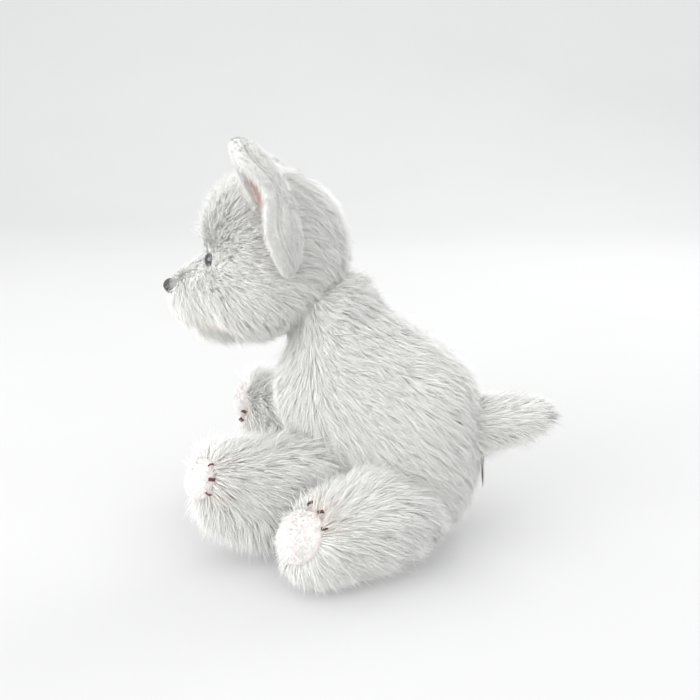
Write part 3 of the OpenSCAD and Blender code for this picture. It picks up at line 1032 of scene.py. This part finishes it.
def label():
    """A blank ribbon folded once and sewn into the seam under the tail."""
    low, high = (np.array(c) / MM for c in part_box("care_label"))
    wide, tall = high[0] - low[0], high[2] - low[2]
    at = np.array([0, high[1], high[2]])
    bm = bmesh.new()
    steps, across = 28, 12
    rows = []
    for i in range(steps + 1):
        t = i / steps
        loop = math.sin(math.pi * t)
        y = 0.6 * math.cos(math.pi * t) + 0.8 * loop
        z = -tall * loop ** 0.8
        rows.append([bm.verts.new(point_m(at + ((j / across - 0.5) * wide, y + 0.25 * math.sin(j * 0.9), z)))
                     for j in range(across + 1)])
    for a, b in zip(rows, rows[1:]):
        for j in range(across):
            bm.faces.new((a[j], a[j + 1], b[j + 1], b[j]))
    me = bpy.data.meshes.new("care_label_ribbon")
    bm.to_mesh(me)
    bm.free()
    ob = new_object("care_label_ribbon", me)
    thick = ob.modifiers.new("Thickness", "SOLIDIFY")
    thick.thickness = 0.25 * MM
    applied(ob)
    ob.data.shade_smooth()
    ob.data.materials.clear()
    ob.data.materials.append(RIBBON)
    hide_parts("care_label")
    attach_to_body(ob, "torso")


# ---- Nodes that stay ----

def finish_node(name, mat):
    ob = frame["nodes"][name]
    ob.data.materials.clear()
    ob.data.materials.append(mat)
    ob.data.shade_smooth()


def kept_nodes():
    for side in ("left", "right"):
        finish_node("eye_" + side, BLACK_GLOSS)
        finish_node("eye_washer_" + side, NYLON)
        finish_node("front_stuffing_" + side, FIBRE)
        finish_node("hind_stuffing_" + side, FIBRE)
    finish_node("nose_washer", NYLON)
    for name in ("torso_stuffing", "neck_stuffing", "head_stuffing", "tail_stuffing"):
        finish_node(name, FIBRE)
    finish_node("pellet_bag", PELLETS)


# ---- Studio ----

def studio():
    """Pale seamless paper that curves up behind the toy, and soft light from its left, above and behind."""
    wall_x, curve_r, side, top = -1.0, 0.8, 8.0, 6.0
    profile = [(6.0, 0.0)]
    for i in range(17):
        a = math.pi / 2 * i / 16
        profile.append((wall_x - curve_r * math.sin(a), curve_r - curve_r * math.cos(a)))
    profile.append((wall_x - curve_r, top))
    bm = bmesh.new()
    rows = [[bm.verts.new((x, y, z)) for y in (-side, side)] for x, z in profile]
    for a, b in zip(rows, rows[1:]):
        bm.faces.new((a[0], a[1], b[1], b[0]))
    me = bpy.data.meshes.new("paper")
    bm.to_mesh(me)
    bm.free()
    me.shade_smooth()
    m, tree, shader = material("paper")
    fac = noise_of(tree, 6.0)
    tree.links.new(ramp(tree, fac, [(0.3, (0.44, 0.44, 0.437)), (0.7, (0.45, 0.45, 0.447))]),
                   shader.inputs["Base Color"])
    shader.inputs["Emission Color"].default_value = (0.99, 0.995, 1.0, 1)
    shader.inputs["Emission Strength"].default_value = 0.27
    shader.inputs["Roughness"].default_value = 0.95
    shader.inputs["Specular IOR Level"].default_value = 0.1
    me.materials.append(m)
    new_object("paper", me)
    world = bpy.data.worlds.new("studio")
    world.use_nodes = True
    world.node_tree.nodes["Background"].inputs["Color"].default_value = (0.985, 0.99, 1.0, 1)
    world.node_tree.nodes["Background"].inputs["Strength"].default_value = 1.1
    bpy.context.scene.world = world
    for name, at, size, power in (("key", (0.86, -0.8, 0.46), 0.9, 10.4), ("top", (0.1, -0.3, 1.2), 1.6, 5.0),
                                  ("fill", (-0.8, 0.45, 0.9), 0.6, 5.5)):
        lamp = bpy.data.lights.new(name, "AREA")
        lamp.size = size
        lamp.energy = power
        ob = new_object(name, lamp)
        ob.location = at
        ob.visible_camera = False
        ob.rotation_euler = (Vector((0, 0, 0.08)) - Vector(at)).to_track_quat("-Z", "Y").to_euler()


def camera():
    """On the toy's left side, a little behind it and above it."""
    azimuth, elevation, distance, view = math.radians(97), math.radians(15), 0.370, math.radians(43.4)
    target = Vector((0, -0.0042, 0.0805))
    back = Vector((math.sin(azimuth) * math.cos(elevation), -math.cos(azimuth) * math.cos(elevation),
                   math.sin(elevation)))
    cam = bpy.data.cameras.new("camera")
    cam.sensor_width = 36
    cam.lens = 18 / math.tan(view / 2)
    cam.clip_start, cam.clip_end = 0.01, 20
    ob = new_object("camera", cam)
    ob.location = target + back * distance
    ob.rotation_euler = (-back).to_track_quat("-Z", "Y").to_euler()
    scene = bpy.context.scene
    scene.camera = ob
    scene.view_settings.view_transform = "Standard"


camera()
studio()
torso()
head()
for number, leg in enumerate(LEGS):
    limb(leg, SEED + 2 + number)
tail()
ear("left", SEED + 10)
ear("right", SEED + 11)
nose()
mouth()
label()
kept_nodes()
